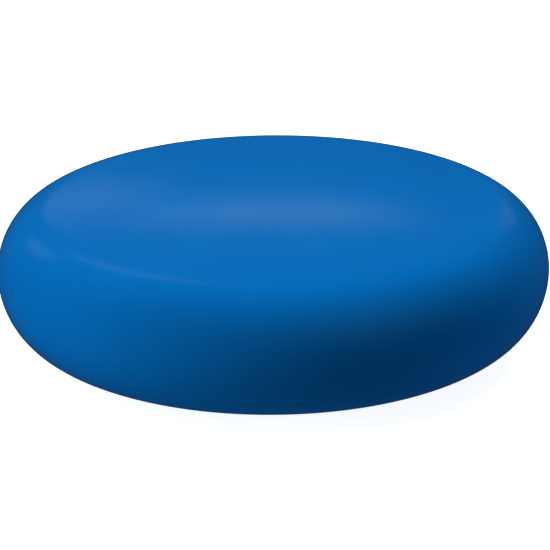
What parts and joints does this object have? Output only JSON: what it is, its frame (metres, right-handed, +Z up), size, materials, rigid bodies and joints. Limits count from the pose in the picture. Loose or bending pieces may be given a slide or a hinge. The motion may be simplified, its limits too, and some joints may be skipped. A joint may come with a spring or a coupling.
{
  "type": "wobble cushion",
  "caption": "Round air-filled balance cushion of soft moulded PVC, domed on both faces, with a needle valve in its rim; it tilts and sinks under a sitter or a foot.",
  "frame": {"origin": "middle of the flat contact patch on the underside, on the cushion's axis, at floor level", "axes": "+Z up along the cushion's axis, towards the top face; +Y towards the back, out of the needle valve; +X to the right seen from the front"},
  "size_m": [0.33, 0.3299, 0.0899],
  "materials": {
    "pvc_skin": "satin-matte moulded skin with a very fine grain",
    "valve_rubber": "matte soft rubber"
  },
  "bodies": {
    "base": {"base_panel": "pvc_skin", "lower_sidewall": "pvc_skin"},
    "rim": {"equator_band": "pvc_skin", "upper_sidewall": "pvc_skin", "valve_socket": "pvc_skin", "valve_insert": "valve_rubber"},
    "top": {"shoulder_ring": "pvc_skin", "seat_flex": "pvc_skin"},
    "seat": {"seat_panel": "pvc_skin"}
  },
  "joints": [
    {"name": "tilt_x", "type": "hinge", "parent": "base", "child": "rim", "pos_m": [0, 0, 0.046], "axis": [1, 0, 0], "range_deg": [-7, 7], "stiffness_Nm_per_rad": 150, "deforming": ["lower_sidewall"]},
    {"name": "tilt_y", "type": "hinge", "parent": "rim", "child": "top", "pos_m": [0, 0, 0.046], "axis": [0, 1, 0], "range_deg": [-7, 7], "stiffness_Nm_per_rad": 150, "deforming": ["upper_sidewall"]},
    {"name": "seat_sink", "type": "slide", "parent": "top", "child": "seat", "axis": [0, 0, 1], "range_m": [-0.02, 0], "stiffness_N_per_m": 30000, "deforming": ["seat_flex"]}
  ]
}
